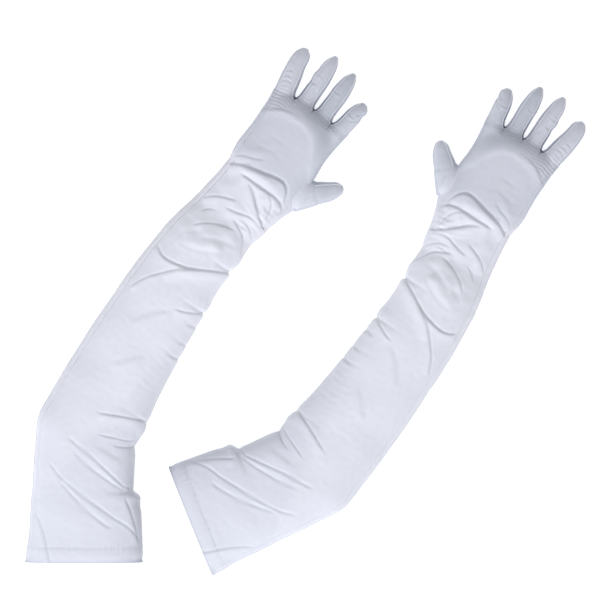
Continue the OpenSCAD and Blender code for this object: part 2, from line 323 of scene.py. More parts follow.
# Each lap, by frame: style, how far it fades in and out, and a few points along it, from the little finger's side
# to the thumb's side or from the hand to the cuff, so that its steep side lies on the left of the run.
LAPS = {
    "hand": [
        ("thin", 2, 8, (-39, 24), (-31, 32), (-19, 38), (-11, 44)),
        ("thin", 6, 6, (-28, 26), (-23, 29), (-16, 31)),
        ("bold", 2, 9, (-37, 15), (-27, 23), (-16, 28), (-5, 32), (7, 37), (17, 39), (24, 36), (29, 29), (31, 21)),
        ("bold", 9, 8, (-23, 16), (-12, 18), (-1, 19), (12, 21), (22, 22), (31, 20), (37, 14)),
        ("bold", 12, 0, (-11, 15), (-1, 12), (9, 6), (19, -1), (32, -8)),
        ("pleat", 8, 4, (12, 21), (21, 16), (27, 8), (30, -3)),
        ("faint", 8, 8, (-27, 64), (-17, 66), (-6, 68)),
        ("faint", 8, 8, (-32, 46), (-21, 51), (-8, 55)),
    ],
    "forearm": [
        ("pleat", 4, 10, (-37, 258), (-29, 266), (-18, 272), (-3, 277)),
        ("thin", 6, 8, (-32, 245), (-25, 253), (-15, 257)),
        ("pleat", 9, 5, (-13, 264), (0, 266), (15, 270), (26, 269)),
        ("thin", 8, 8, (-31, 229), (-17, 241), (-1, 248), (12, 250)),
        ("thin", 6, 6, (0, 259), (9, 257), (20, 257)),
        ("pleat", 10, 0, (1, 258), (12, 254), (21, 248), (28, 235)),
        ("soft", 8, 8, (-35, 219), (-22, 226), (-8, 236), (8, 241)),
        ("thin", 6, 3, (6, 262), (14, 262), (23, 258), (30, 250)),
        ("soft", 9, 9, (-17, 223), (-4, 229), (10, 234), (23, 234)),
        ("soft", 9, 9, (-31, 207), (-18, 209), (-4, 214), (16, 224)),
        ("fall", 5, 0, (-46, 194), (-40, 189), (-29, 187), (-7, 192), (12, 202), (34, 213)),
        ("pleat", 5, 14, (-46, 141), (-39, 157), (-30, 169), (-15, 185), (2, 196)),
        ("pleat", 12, 0, (1, 149), (12, 152), (21, 156), (35, 164)),
        ("thin", 5, 0, (21, 143), (28, 144), (37, 146)),
        ("thin", 5, 0, (24, 123), (32, 124), (40, 125)),
        ("thin", 5, 0, (24, 107), (33, 108), (42, 109)),
        ("soft", 14, 14, (-20, 64), (-6, 80), (9, 96)),
        ("soft", 12, 10, (-27, 111), (-13, 132), (4, 148)),
    ],
    "upper": [
        ("pleat", 12, 0, (7, 16), (27, 13), (43, 10), (62, 5)),
        ("thin", 10, 0, (9, -6), (27, -10), (40, -13), (52, -14)),
        ("thin", 8, 0, (24, -17), (37, -20), (50, -19)),
        ("soft", 10, 8, (6, -15), (22, -26), (38, -35)),
        ("line", 12, 4, (-22, -6), (-12, -16), (1, -26), (19, -43), (39, -62)),
        ("fine", 10, 8, (-15, -22), (-3, -35), (9, -45), (27, -58), (38, -65)),
        ("line", 12, 0, (-41, -32), (-28, -49), (-9, -66), (12, -81), (27, -92), (41, -101), (51, -114), (57, -133)),
        ("fine", 10, 12, (-30, -52), (-13, -71), (1, -85), (17, -98), (28, -104)),
        ("pleat", 4, 0, (37, -60), (45, -63), (58, -70)),
        ("pleat", 8, 10, (37, -69), (43, -84), (48, -100), (52, -119)),
        ("pleat", 10, 6, (-54, -84), (-47, -101), (-42, -118), (-38, -140)),
    ],
    "little": [
        ("crimp", 2, 3, (-9, 9), (-3, 12), (4, 11)),
        ("crimp", 2, 3, (-8, 15), (-3, 17), (3, 16)),
        ("crimp", 2, 3, (-8, 21), (-3, 23), (2, 22)),
    ],
    "ring": [
        ("crimp", 1, 3, (-9, 34), (-5, 31), (1, 32)),
        ("crimp", 1, 3, (-9, 24), (-5, 21), (0, 22)),
        ("dent", 6, 8, (5, 10), (1, 24), (3, 40)),
    ],
    "middle": [
        ("crimp", 1, 3, (-9, 29), (-4, 26), (2, 28)),
        ("dent", 6, 8, (4, 8), (1, 20), (-1, 36)),
    ],
    "index": [
        ("crimp", 2, 3, (-8, 20), (-2, 17), (4, 18)),
        ("crimp", 2, 1, (1, 12), (5, 15), (9, 21)),
        ("crimp", 2, 1, (2, 21), (5, 24), (8, 29)),
    ],
    "thumb": [
        ("dent", 4, 6, (-9, 9), (-1, 16), (8, 25)),
        ("crimp", 2, 3, (-13, 5), (-5, 9), (2, 10)),
        ("crimp", 3, 4, (5, 8), (8, 15), (11, 24)),
    ],
}

# Round swells between the laps, by frame: height, width, how far both ends fade, points.
SWELLS = {
    "hand": [
        (1.4, 4.5, 8, (-25, 19), (-8, 26), (9, 29), (23, 30)),
        (1.3, 3.5, 8, (7, 14), (18, 8), (28, -2)),
        (0.5, 4, 10, (-37, 33), (-26, 42), (-13, 50)),
    ],
    "forearm": [
        (0.8, 6, 10, (-25, 168), (-6, 186), (19, 200), (34, 207)),
        (1.2, 6, 10, (-23, 228), (-7, 238), (10, 244), (22, 237)),
        (0.9, 6, 10, (-31, 214), (-11, 218), (10, 228)),
    ],
    "upper": [
        (0.25, 2.4, 10, (-9, -23), (12, -39), (33, -59)),
        (0.25, 2.6, 12, (-30, -44), (-12, -65), (9, -85), (26, -97)),
    ],
}

# Where an edge puffs out or is nipped in, by frame: side (1 is the thumb's), place along it, how far, reach.
PUFFS = {
    "forearm": [(1, 256, 1.2, 6), (1, 225, 1.9, 8), (1, 212.5, -2.2, 2.2), (1, 171, 1.2, 6), (1, 162.5, -1.8, 2),
                (1, 147, -0.8, 2), (1, 126, -0.7, 2), (1, 110, -0.7, 2), (1, 38, -1.4, 2.5), (1, 28, 1.5, 6),
                (-1, 150, 0.5, 14)],
    "upper": [(1, -64, -2.2, 3.5), (1, -72, 1.6, 4), (1, -20, -1.5, 4), (1, -143, 2.2, 3.5), (1, -134, -0.9, 4),
              (-1, -143, 2.2, 3.5), (-1, -131, -1, 5)],
    "hand": [(-1, 20, -1, 4)],
    "little": [(1, 30, -1.2, 8), (1, 44, 0.7, 4), (-1, 18, 0.5, 6)],
    "ring": [(-1, 22, -0.6, 3), (-1, 30, 0.5, 4), (-1, 37, -0.5, 3), (1, 26, 0.6, 10)],
    "middle": [(-1, 30, 0.4, 6), (1, 26, 0.7, 10)],
    "index": [(-1, 20, 0.4, 6), (1, 24, -0.8, 3.5), (1, 32, 1.3, 3.5)],
    "thumb": [(-1, 12, -0.8, 5), (1, 18, -0.6, 3), (1, 27, 0.6, 4)],
}

# A knuckle line, beyond which the back of the hand falls to the fingers, and a slope down to the thumb.
KNUCKLES = [(-70, 62), (-52, 76), (-40, 88), (-31, 94), (-20, 98), (-8, 100), (6, 98), (19, 88), (31, 72), (50, 52)]
knuckle_drop = 6.6
knuckle_reach = 17.0
knuckle_rim = 0.7
thumb_slope = 8.5

# Fine creases that run across: frame, middle, direction that they repeat in (degrees), wavelength, height, reach.
RIPPLES = [
    ("hand", (-47, 96), 100, 3.7, 0.42, (13, 13)),
    ("hand", (-22, 110), 92, 3.6, 0.27, (14, 9)),
    ("hand", (8, 114), 88, 3.8, 0.18, (16, 9)),
    ("hand", (46, 44), 30, 3.2, 0.15, (6, 14)),
    ("forearm", (24, 276), 70, 6.0, 0.28, (16, 14)),
    ("forearm", (30, 90), 84, 7.0, 0.08, (14, 40)),
]


def curve_through(points, per_step=8):
    """A smooth line through the points (Catmull-Rom)."""
    p = np.asarray(points, float)
    p = np.concatenate([[2 * p[0] - p[1]], p, [2 * p[-1] - p[-2]]])
    out = []
    for a, b, c, d in zip(p[:-3], p[1:-2], p[2:-1], p[3:]):
        for f in np.arange(per_step) / per_step:
            out.append(0.5 * (2 * b + (c - a) * f + (2 * a - 5 * b + 4 * c - d) * f ** 2
                              + (3 * b - a - 3 * c + d) * f ** 3))
    out.append(p[-2])
    return np.array(out)


def beside(points, line, reach):
    """For each point: its signed distance from the line (positive on the left of its run) and the place along it."""
    at = length_along(line)
    best = np.full(len(points), 1e9)
    signed = np.full(len(points), 1e9)
    along = np.zeros(len(points))
    near = np.flatnonzero(np.all((points > line.min(0) - reach) & (points < line.max(0) + reach), axis=1))
    p = points[near]
    for i in range(len(line) - 1):
        a, d = line[i], line[i + 1] - line[i]
        size = float(d @ d)
        f = np.clip(((p - a) @ d) / size, 0, 1)
        gap = p - a - f[:, None] * d
        far = np.hypot(gap[:, 0], gap[:, 1])
        side = np.where(d[0] * (p[:, 1] - a[1]) - d[1] * (p[:, 0] - a[0]) >= 0, 1.0, -1.0)
        closer = far < best[near]
        idx = near[closer]
        best[idx] = far[closer]
        signed[idx] = (far * side)[closer]
        along[idx] = at[i] + f[closer] * math.sqrt(size)
    return signed, along, at[-1]


def faded(along, whole, start, end):
    """How much of a fold is there, for one that fades in and out over these distances; 0 stands for not at all."""
    share = ease(along / start) if start else 1.0
    return share * (ease((whole - along) / end) if end else 1.0)


def lap_heights(points):
    """How much the folds raise the cloth at each point of the glove's plan."""
    total = np.zeros(len(points))
    for where, laps in LAPS.items():
        local = FRAMES[where].into(points)
        for style, fade_in, fade_out, *line in laps:
            crest, crease, steep, gentle = STYLES[style]
            reach = 3 * gentle + steep
            d, along, whole = beside(local, curve_through(line), reach)
            back = d + steep
            wave = crest * np.exp(-(back / np.where(back < 0, gentle, steep)) ** 2)
            wave -= crease * np.exp(-((d - 0.5 * steep) / steep) ** 2)
            total += np.where(np.abs(d) < reach, wave * faded(along, whole, fade_in, fade_out), 0)
        for high, wide, fade, *line in SWELLS.get(where, []):
            d, along, whole = beside(local, curve_through(line), 3 * wide)
            wave = high * np.exp(-(d / wide) ** 2) * faded(along, whole, fade, fade)
            total += np.where(np.abs(d) < 3 * wide, wave, 0)
    return total


def side_strip(gap):
    """The flat strip of the side seam's turned edges, and the groove beside it, by distance from the edge."""
    strip = 0.35 * (1 - ease(gap, strip_width - 1, strip_width))
    return strip - 1.15 * np.exp(-((gap - strip_width) / 0.95) ** 2)


def hem_heights(points):
    """The turned hem's extra thickness, the dip along its stitches and the small puckers that they make."""
    local = upper.into(points)
    d = local[:, 1] - hem_end - hem_depth
    band = 0.30 * (1 - ease(d, -2.0, 1.0)) - 0.15 * np.exp(-(d / 1.5) ** 2) + 0.35 * np.exp(-((d + 7.5) / 5) ** 2)
    pucker = 0.13 * np.sin(local[:, 0] * 1.25 + np.sin(local[:, 0] * 0.23) * 2) * np.exp(-((d + 1.5) / 5.5) ** 2)
    return np.where(d < 25, band + pucker, 0)


def past_knuckles(local):
    """Distance past the knuckle line, towards the finger tips, of points in the hand's frame."""
    d, _, _ = beside(local, curve_through(KNUCKLES), 400)
    return np.where(np.abs(d) > 1e8, -400, d)


def painted_shade_share(points):
    """Painted shade, from 0 over the wrist to 1 on the fingers: some on the upper sleeve, more on the hand and the
    fingers, and a band just past the knuckles on the middle and index fingers' side.
    """
    local = hand.into(points)
    sleeve_share = 0.30 * (1 - ease(forearm.into(points)[:, 1], -60, 110))
    hand_share = 0.54 * ease(local[:, 1], 14, 40) + 0.14 * ease(local[:, 0], 44, 56)
    finger_share = -0.06 + 0.49 * np.exp(-((local[:, 0] - 4) / 20) ** 2)
    d = past_knuckles(local)
    band = 0.2 * np.exp(-((d - 9) / 7) ** 2) * ease(local[:, 0], -25, 5)
    return np.clip(sleeve_share + hand_share + band + finger_share * ease(d, -6, 12), 0, 1)


def hand_falls(points):
    """The drop from the knuckles to the fingers and the slope down to the thumb."""
    local = hand.into(points)
    d = past_knuckles(local)
    inside = ease(local[:, 1], 30, 66)
    fall = -knuckle_drop * ease(d, -1.5, knuckle_reach) * inside
    outer = 1 - ease(local[:, 0], -42, -12)
    rim = knuckle_rim * np.exp(-((d + 4.0) / 3.5) ** 2) * inside
    rim += outer * (0.9 * np.exp(-((d + 1.5) / 1.8) ** 2) - 0.5 * np.exp(-((d - 1.5) / 1.2) ** 2)) * inside
    low = ease(local[:, 0], 16, 44) * ease(local[:, 1], 6, 26) * (1 - ease(local[:, 1], 58, 84))
    return fall + rim - thumb_slope * low


def ripple_heights(points):
    total = np.zeros(len(points))
    for where, middle, degrees, wave, high, (wide, long) in RIPPLES:
        a = math.radians(degrees)
        q = FRAMES[where].into(points) - np.array(middle)
        along = q[:, 0] * math.cos(a) + q[:, 1] * math.sin(a)
        across = -q[:, 0] * math.sin(a) + q[:, 1] * math.cos(a)
        bent = along + 0.9 * np.sin(across / 5.5) + 0.5 * np.sin(across / 2.9 + 1)
        window = np.exp(-(across / wide) ** 2 - (along / long) ** 2)
        total += high * window * np.sin(2 * math.pi * bent / wave)
    return total


def slack_heights(points, seed, count, high, low_wave, high_wave):
    """Faint uneven waves of slack cloth."""
    rng = np.random.default_rng(seed)
    total = np.zeros(len(points))
    for _ in range(count):
        a = rng.uniform(0, math.pi)
        wave = rng.uniform(low_wave, high_wave)
        k = 2 * math.pi / wave
        total += np.sin(k * (points[:, 0] * math.cos(a) + points[:, 1] * math.sin(a)) + rng.uniform(0, 6.28))
    return high * total / math.sqrt(count)


# ---- the cloth's skin
def tube_faces(rings, sides, start=0, flip=False):
    """The faces of a tube of rings of points, all round and from ring to ring."""
    faces = []
    for i in range(rings - 1):
        for j in range(sides):
            a, b, k = start + i * sides, start + (i + 1) * sides, (j + 1) % sides
            faces.append((b + j, b + k, a + k, a + j) if flip else (a + j, a + k, b + k, b + j))
    return faces


class Skin:
    """All cloth of one glove as grids of points, with the name of the part that each face belongs to."""

    def __init__(self):
        self.points, self.lift, self.cloth = [], [], []
        self.faces, self.parts = [], []
        self.count = 0

    def add(self, grid, lift, offset, part_of):
        """grid is rings x steps x 3, closed round; part_of(ring, step) names a face's part."""
        rings, steps = grid.shape[:2]
        start = self.count
        self.points.append(grid.reshape(-1, 3))
        self.lift.append(np.broadcast_to(lift, (rings, steps)).reshape(-1))
        self.cloth.append((around(grid) + offset).reshape(-1, 2))
        self.count += rings * steps
        self.faces += tube_faces(rings, steps, start)
        self.parts += [part_of(i, j) for i in range(rings - 1) for j in range(steps)]
        return np.arange(start, self.count).reshape(rings, steps)

    def close(self):
        self.points = np.concatenate(self.points)
        self.lift = np.concatenate(self.lift)
        self.cloth = np.concatenate(self.cloth)
        self.faces = np.array(self.faces)
        self.parts = np.array(self.parts)
        _, self.same = np.unique(np.round(self.points, 3), axis=0, return_inverse=True)
        self.same = self.same.reshape(-1)

    def normals(self):
        p = self.points
        a, b, c, d = (p[self.faces[:, i]] for i in range(4))
        face = np.cross(c - a, d - b)
        total = np.zeros((self.same.max() + 1, 3))
        for column in self.faces.T:
            np.add.at(total, self.same[column], face)
        total /= np.maximum(np.linalg.norm(total, axis=1), 1e-9)[:, None]
        return total[self.same]


def section(row, x_top, x_under, height_form):
    """One ring round a tube: over the top from the left edge to the right one, then back below."""
    left, right, h = row[0:2], row[2:4], row[4]
    edge = side_share * h
    back = x_under[::-1][1:-1]
    x = np.concatenate([x_top, back])
    z = np.concatenate([edge + (h - edge) * arch(x_top, height_form),
                        rest_gap + (edge - rest_gap) * (1 - arch(back, under_form))])
    return np.column_stack([(left + right) / 2 + x[:, None] * (right - left) / 2, z])


def digit_rings(rows):
    return np.array([section(row, digit_top, digit_under, finger_form) for row in rows])


def top_share(x_top, count):
    """How much of a fold each step of a ring takes: all on the top, some at the edges, none below."""
    return np.concatenate([0.5 + 0.5 * arch(x_top, top_form) ** 1.5, np.zeros(count - len(x_top))])


def around(grid):
    """The cloth's own coordinates: distance round the ring and distance along the glove, from ring to ring."""
    step = np.linalg.norm(np.diff(grid, axis=1), axis=2)
    round_it = np.concatenate([np.zeros((len(grid), 1)), np.cumsum(step, axis=1)], axis=1)
    along = length_along(grid.mean(axis=1))
    return np.stack([round_it, np.repeat(along[:, None], grid.shape[1], axis=1)], axis=2)


def find_roots():
    """The five points along the fingers' roots, from the little finger's outer side to the index finger's."""
    ends = [(digits[f].origin, digits[f].out([10, 0])) for f in FINGERS]
    forks = [meeting(*ends[i], *ends[i + 1]) for i in range(3)]
    first = 2 * digits["little"].origin - forks[0]
    last = 2 * digits["index"].origin - forks[2]
    return np.array([first] + forks + [last])


def tip_rows(rows, reach, count=7):
    """Rows with more rows that round off the tip beyond the last one."""
    left, right, h = rows[-1, 0:2], rows[-1, 2:4], rows[-1, 4]
    ahead = rows[-1, 0:2] + rows[-1, 2:4] - rows[-3, 0:2] - rows[-3, 2:4]
    ahead /= np.linalg.norm(ahead)
    middle, half = (left + right) / 2, (right - left) / 2
    out = []
    for a in np.linspace(0, math.pi / 2, count + 1)[1:]:
        size = max(math.cos(a), 0.02)
        m = middle + ahead * reach * math.sin(a)
        out.append(np.concatenate([m - half * size, m + half * size, [h * (0.35 + 0.65 * size)]]))
    return np.concatenate([rows, out])


digit_top, digit_under = steps_over(finger_top, finger_form), steps_over(finger_under, under_form)
digit_lift = np.concatenate([arch(digit_top, 2.0), np.zeros(finger_under - 1)])
roots = find_roots()
root_shares = length_along(roots) / length_along(roots)[-1]
finger_nodes = {f: ["left_%s_back" % f, "left_%s_palm" % f] for f in FINGERS}
finger_height = float(np.mean([slices(finger_nodes[f], digits[f], [3.0])[0, 2] for f in FINGERS]))
sleeve = puffed(spread(sleeve_rows(), ring_gap, 4.0), ("upper", "forearm", "hand"))
sleeve_middle = (sleeve[:, 0:2] + sleeve[:, 2:4]) / 2
split_ring = int(np.argmin(np.abs(forearm.into(sleeve_middle)[:, 1] - split_share * forearm_length)))
hand_ring = int(np.argmin(np.abs(hand.into(sleeve_middle)[:, 1] - wrist_zone - 2)))


def finger_places(per_finger, form):
    """Places from -1 to 1 over the whole root, with each finger's own steps."""
    own = (steps_over(per_finger, form) + 1) / 2
    spots = [root_shares[i] + own[:-1] * (root_shares[i + 1] - root_shares[i]) for i in range(4)]
    return 2 * np.concatenate(spots + [[1.0]]) - 1


def within_finger(x):
    """Place from -1 to 1 within its own finger, for places over the whole root."""
    u = (x + 1) / 2
    i = np.clip(np.searchsorted(root_shares, u + 1e-9, side="right") - 1, 0, 3)
    return np.clip(2 * (u - root_shares[i]) / (root_shares[i + 1] - root_shares[i]) - 1, -1, 1)


def hand_edge(column, root):
    """One edge of the hand from the last row of the sleeve to the fingers' roots."""
    first = sleeve[-1, column:column + 2]
    up = np.arange(hand.into(first)[1] + 6, hand.into(root)[1] - 4, 6)
    seen = rows_at(["left_hand_back", "left_hand_palm"], hand, up)[:, column:column + 2]
    return np.concatenate([[first], seen, [root]])


def hand_grid():
    """Rings from the thumb's root to the fingers' roots, where one tube becomes four."""
    lines = [hand_edge(0, roots[0]), hand_edge(2, roots[-1])]
    whole = length_along(lines[1])[-1]
    count = int(whole / ring_gap)
    v = np.linspace(0, 1, count + 1)
    left, right = [softened(resampled(length_along(line), v * length_along(line)[-1], line), 4.0) for line in lines]
    last, hand_height = sleeve[-1], sleeve[-1, 4]
    top = [steps_over(across_top, top_form), finger_places(finger_top, finger_form)]
    under = [steps_over(across_under, under_form), finger_places(finger_under, under_form)]
    low, edge = side_share * finger_height, side_share * hand_height
    grid = []
    for i in range(1, count + 1):
        f = ease(v[i] * 1.6)
        q = float(ease(v[i], 1 - fork_reach / whole, 1)) ** 2.6
        xt = (1 - f) * top[0] + f * top[1]
        xb = ((1 - f) * under[0] + f * under[1])[::-1][1:-1]
        x = np.concatenate([xt, xb])
        u = ((x + 1) / 2)[:, None]
        straight = last[0:2] + u * (last[2:4] - last[0:2])
        at_root = resampled(root_shares, u[:, 0], roots)
        corners = (1 - v[i]) * ((1 - u) * left[0] + u * right[0]) + v[i] * ((1 - u) * left[-1] + u * right[-1])
        xy = (1 - v[i]) * straight + v[i] * at_root + (1 - u) * left[i] + u * right[i] - corners
        n = len(xt)
        z_hand = edge + (hand_height - edge) * arch(xt, top_form) + hand_falls(xy[:n]) * arch(xt, top_form) ** 0.7
        z_digit = low + (finger_height - low) * arch(within_finger(xt), finger_form)
        b_hand = rest_gap + (edge - rest_gap) * (1 - arch(xb, under_form))
        b_digit = rest_gap + (low - rest_gap) * (1 - arch(within_finger(xb), under_form))
        z = np.concatenate([(1 - q) * z_hand + q * z_digit, (1 - q) * b_hand + q * b_digit])
        grid.append(np.column_stack([xy, z]))
    return np.array(grid)


def finger_grid(i, last_ring):
    """Rings of one finger; the first is its share of the hand's last ring."""
    name = FINGERS[i]
    place, nodes = digits[name], finger_nodes[name]
    tip = reach_of(nodes, place)[1]
    stations = np.concatenate([np.arange(3, tip - 9, 3), np.arange(tip - 9, tip - 1.2, 1.5)])
    first = np.concatenate([roots[i], roots[i + 1], [finger_height]])
    rows = spread(np.concatenate([[first], rows_at(nodes, place, stations)]), ring_gap, 2.0)
    grid = digit_rings(tip_rows(puffed(rows, (name,)), tip - stations[-1] + 0.6))
    below = across_top + across_under - finger_under * (i + 1)
    top = np.arange(finger_top * i, finger_top * (i + 1) + 1)
    grid[0] = last_ring[np.concatenate([top, np.arange(below + 1, below + finger_under)])]
    return grid


def finger_part(i):
    """Names the part of each face of a finger: its back, its palm side, or the strip on one of its sides."""
    name = FINGERS[i]

    def part(ring, step):
        ulnar = step < fourchette_steps or step >= finger_top + finger_under - 2
        radial = finger_top - fourchette_steps <= step < finger_top + 2
        if ulnar and i > 0:
            return name + "_ulnar_fourchette"
        if radial and i < 3:
            return name + "_radial_fourchette"
        return name + ("_back" if step < finger_top else "_palm")
    return part


def thumb_grid(skin_points, skin_faces):
    """Rings of the thumb, from just inside the hand's cloth to its tip, and where its cloth meets the hand's."""
    place, nodes = digits["thumb"], ["left_thumb"]
    leaning = Place(place.origin, place.degrees + thumb_lean)
    tip = reach_of(nodes, leaning)[1]
    stations = np.concatenate([np.arange(20, tip - 8, 3), np.arange(tip - 8, tip - 1.2, 1.5)])
    rows = np.concatenate([rows_at(nodes, place, [2.0]), rows_at(nodes, leaning, stations)])
    grid = digit_rings(tip_rows(puffed(spread(rows, ring_gap, 3.0), ("thumb",)), tip - stations[-1] + 0.6))
    tree = BVHTree.FromPolygons([tuple(p) for p in skin_points], [tuple(int(k) for k in f) for f in skin_faces])
    inward = np.append(hand.out([-1, -0.35]) - wrist, 0)
    inward /= np.linalg.norm(inward)
    depths = []
    for p in grid[0]:
        hit = tree.ray_cast(Vector(p - 6 * inward), Vector(inward), 22)[0]
        depths.append(np.clip((np.array(hit) - p) @ inward if hit is not None else 4.0, -3.0, 14.0))
    meets = grid[0] + np.array(depths)[:, None] * inward
    steps = np.linspace(0, 1, 5)[:-1, None, None]
    lead = meets * (1 - steps) + grid[0] * steps
    return np.concatenate([[meets + 1.2 * inward], lead, grid]), meets


class Glove:
    """The shared cloth of both gloves, in the left glove's frame: its skin and the lines that seams follow."""

    def __init__(self):
        skin = self.skin = Skin()
        x_top, x_under = steps_over(across_top, top_form), steps_over(across_under, under_form)
        tube = np.array([section(r, x_top, x_under, top_form) for r in sleeve])
        n = across_top + 1
        for ring in tube:
            ring[:n, 2] += hand_falls(ring[:n, :2]) * arch(x_top, top_form) ** 0.7
        self.grid = np.concatenate([tube, hand_grid()])

        def part(ring, step):
            if ring < split_ring:
                return "upper_sleeve"
            if ring < hand_ring:
                return "forearm_sleeve"
            return "hand_back" if step < across_top else "hand_palm"

        self.ids = skin.add(self.grid, top_share(x_top, tube.shape[1]), 0.0, part)
        self.finger_ids = {}
        for i, name in enumerate(FINGERS):
            self.finger_ids[name] = skin.add(finger_grid(i, self.grid[-1]), digit_lift, 40.0 * i, finger_part(i))
        hand_faces = [f for f, p in zip(skin.faces, skin.parts) if p.startswith("hand") or p == "forearm_sleeve"]
        grid, self.thumb_meets = thumb_grid(np.concatenate(skin.points), hand_faces)
        self.thumb_ids = skin.add(grid, digit_lift, 200.0, lambda ring, step: "thumb")
        skin.close()
        self.fold()
        self.normals = skin.normals()

    def fold(self):
        """Moves the cloth out along its own normals by the folds, the fine creases and the slack."""
        skin = self.skin
        plan = skin.points[:, :2]
        out = skin.normals()
        on_sleeve = np.zeros(len(plan), bool)
        on_sleeve[self.ids.reshape(-1)] = True
        raised = lap_heights(plan)
        gap = np.linalg.norm(self.grid[:, :, :2] - self.grid[:, :1, :2], axis=2)
        raised[self.ids.reshape(-1)] += side_strip(gap).reshape(-1)
        raised += ripple_heights(plan) + hem_heights(plan)
        raised += np.where(on_sleeve, slack_heights(plan, 7, 14, 0.32, 34, 80), 0)
        raised += slack_heights(plan, 11, 20, 0.05, 7, 15)
        up = forearm.into(plan)[:, 1]
        over_wrist = ease(up, 190, 215) * (1 - ease(up, 290, 310)) * on_sleeve
        raised += slack_heights(plan, 23, 18, 0.26, 11, 24) * over_wrist
        skin.points = skin.points + out * (raised * skin.lift)[:, None]
        skin.points[:, 2] = np.maximum(skin.points[:, 2], 0.1)
        # Painted shade: the glove's tone, deepened along the edges and on the underside.
        skin.pull = np.clip(painted_shade_share(plan) + edge_painted_shade * (1 - ease(skin.lift, 0.46, 0.64)), 0, edge_painted_shade)
        # Painted shade along the hem's fold and at its two corners, where the cuff's opening lies in shade.
        corners = self.grid[0, [0, across_top], :2]
        apart = np.min([np.linalg.norm(plan - corner, axis=1) for corner in corners], axis=0)
        from_hem = upper.into(plan)[:, 1] - hem_end
        skin.pull += hem_painted_shade * np.exp(-(from_hem / 1.3) ** 2) + corner_painted_shade * np.exp(-(apart / 3.5) ** 2)
        # Painted shade on each finger's strip on its little finger's side near the fork, and dark painted spots round
        # the forks, where shade falls between the fingers.
        for i, name in enumerate(FINGERS[1:], start=1):
            strip = self.finger_ids[name][:, :fourchette_steps]
            near = 1 - ease(np.arange(len(strip)) * ring_gap, 12, 27)
            skin.pull[strip] += (deepest_painted_shade - 1) * near[:, None]
            for back, step in FORK_RUN[1:5]:
                c = finger_top * i
                skin.pull[self.ids[-back, c + step + 1:c - step]] = deepest_painted_shade


# ---- materials
def new_material(name):
    material = bpy.data.materials.new(name)
    material.use_nodes = True
    return material, material.node_tree, material.node_tree.nodes["Principled BSDF"]


def feed(tree, made, inputs):
    """Gives each input of a node its constant, or the output that feeds it."""
    for key, value in inputs.items():
        if isinstance(value, bpy.types.NodeSocket):
            tree.links.new(value, made.inputs[key])
        else:
            made.inputs[key].default_value = value


def node(tree, kind, output, inputs=None, **settings):
    """Adds a shader node and returns one of its outputs."""
    made = tree.nodes.new("ShaderNode" + kind)
    for key, value in settings.items():
        setattr(made, key, value)
    feed(tree, made, inputs or {})
    return made.outputs[output]


def noise(tree, place, scale, detail, stretch=(1, 1, 1)):
    mapped = node(tree, "Mapping", "Vector", {"Vector": place, "Scale": stretch})
    return node(tree, "TexNoise", "Fac", {"Vector": mapped, "Scale": scale, "Detail": detail})


def bands(tree, place, direction, gap, distortion=0.0, detail_scale=1.0):
    """Parallel stripes, that many metres apart."""
    inputs = {"Vector": place, "Scale": math.pi / 10 / gap, "Distortion": distortion, "Detail Scale": detail_scale}
    return node(tree, "TexWave", "Fac", inputs, bands_direction=direction)


def blended(tree, factor, first, second):
    return node(tree, "Mix", "Result", {"Factor": factor, "A": first, "B": second}, data_type="RGBA")


def remap(tree, value, low, high):
    return node(tree, "MapRange", "Result", {"Value": value, "To Min": low, "To Max": high})


def bump(tree, height, strength, distance, under=None):
    inputs = {"Height": height, "Strength": strength, "Distance": distance}
    if under is not None:
        inputs["Normal"] = under
    return node(tree, "Bump", "Normal", inputs)


def cloth_material(name, tint, deep, painted_shade_tint, roughness, sheen, weave, pucker):
    """Satin knit: fine courses and wales, small puckers, and a greyer painted shade tint mixed in by the stretch
    attribute, which holds painted shade.
    """
    material, tree, shader = new_material(name)
    place = node(tree, "UVMap", "UV", uv_map="cloth")
    # the stretch attribute holds painted shade, not stretch; it mixes the painted shade tint over the knit's colour
    pull = node(tree, "Attribute", "Fac", attribute_name="stretch")
    wales = bands(tree, place, "X", wale_gap, *knit_unevenness)
    courses = bands(tree, place, "Y", course_gap, *knit_unevenness)
    knit = node(tree, "Math", "Value", {0: wales, 1: courses}, operation="MULTIPLY")
    patchy = blended(tree, noise(tree, place, 38, 3), (*deep, 1), (*tint, 1))
    slack = node(tree, "VectorMath", "Vector", {0: patchy, "Scale": remap(tree, knit, 0.97, 1.02)}, operation="SCALE")
    gloss = noise(tree, place, 90, 2, (1, 0.4, 1))
    puckers = noise(tree, place, 150, 2, (0.45, 1, 1))
    feed(tree, shader, {
        "Base Color": blended(tree, pull, slack, (*painted_shade_tint, 1)),
        "Roughness": remap(tree, gloss, roughness - 0.05, roughness + 0.05),
        "Normal": bump(tree, puckers, pucker, 0.0006, bump(tree, knit, weave, 0.00016)),
        "Sheen Weight": sheen, "Sheen Roughness": 0.35, "IOR": 1.46, "Anisotropic": 0.35})
    return material


def striped_material(name, place_kind, direction, gap, tones, roughness, sheen, strength, distance):
    """Twisted thread or ribbed elastic: stripes of two tones that stand up."""
    material, tree, shader = new_material(name)
    if place_kind == "cloth":
        place = node(tree, "UVMap", "UV", uv_map="cloth")
    else:
        place = node(tree, "TexCoord", "Object")
    stripes = bands(tree, place, direction, gap)
    feed(tree, shader, {"Base Color": blended(tree, stripes, *tones), "Roughness": roughness, "Sheen Weight": sheen,
                        "Normal": bump(tree, stripes, strength, distance)})
    return material


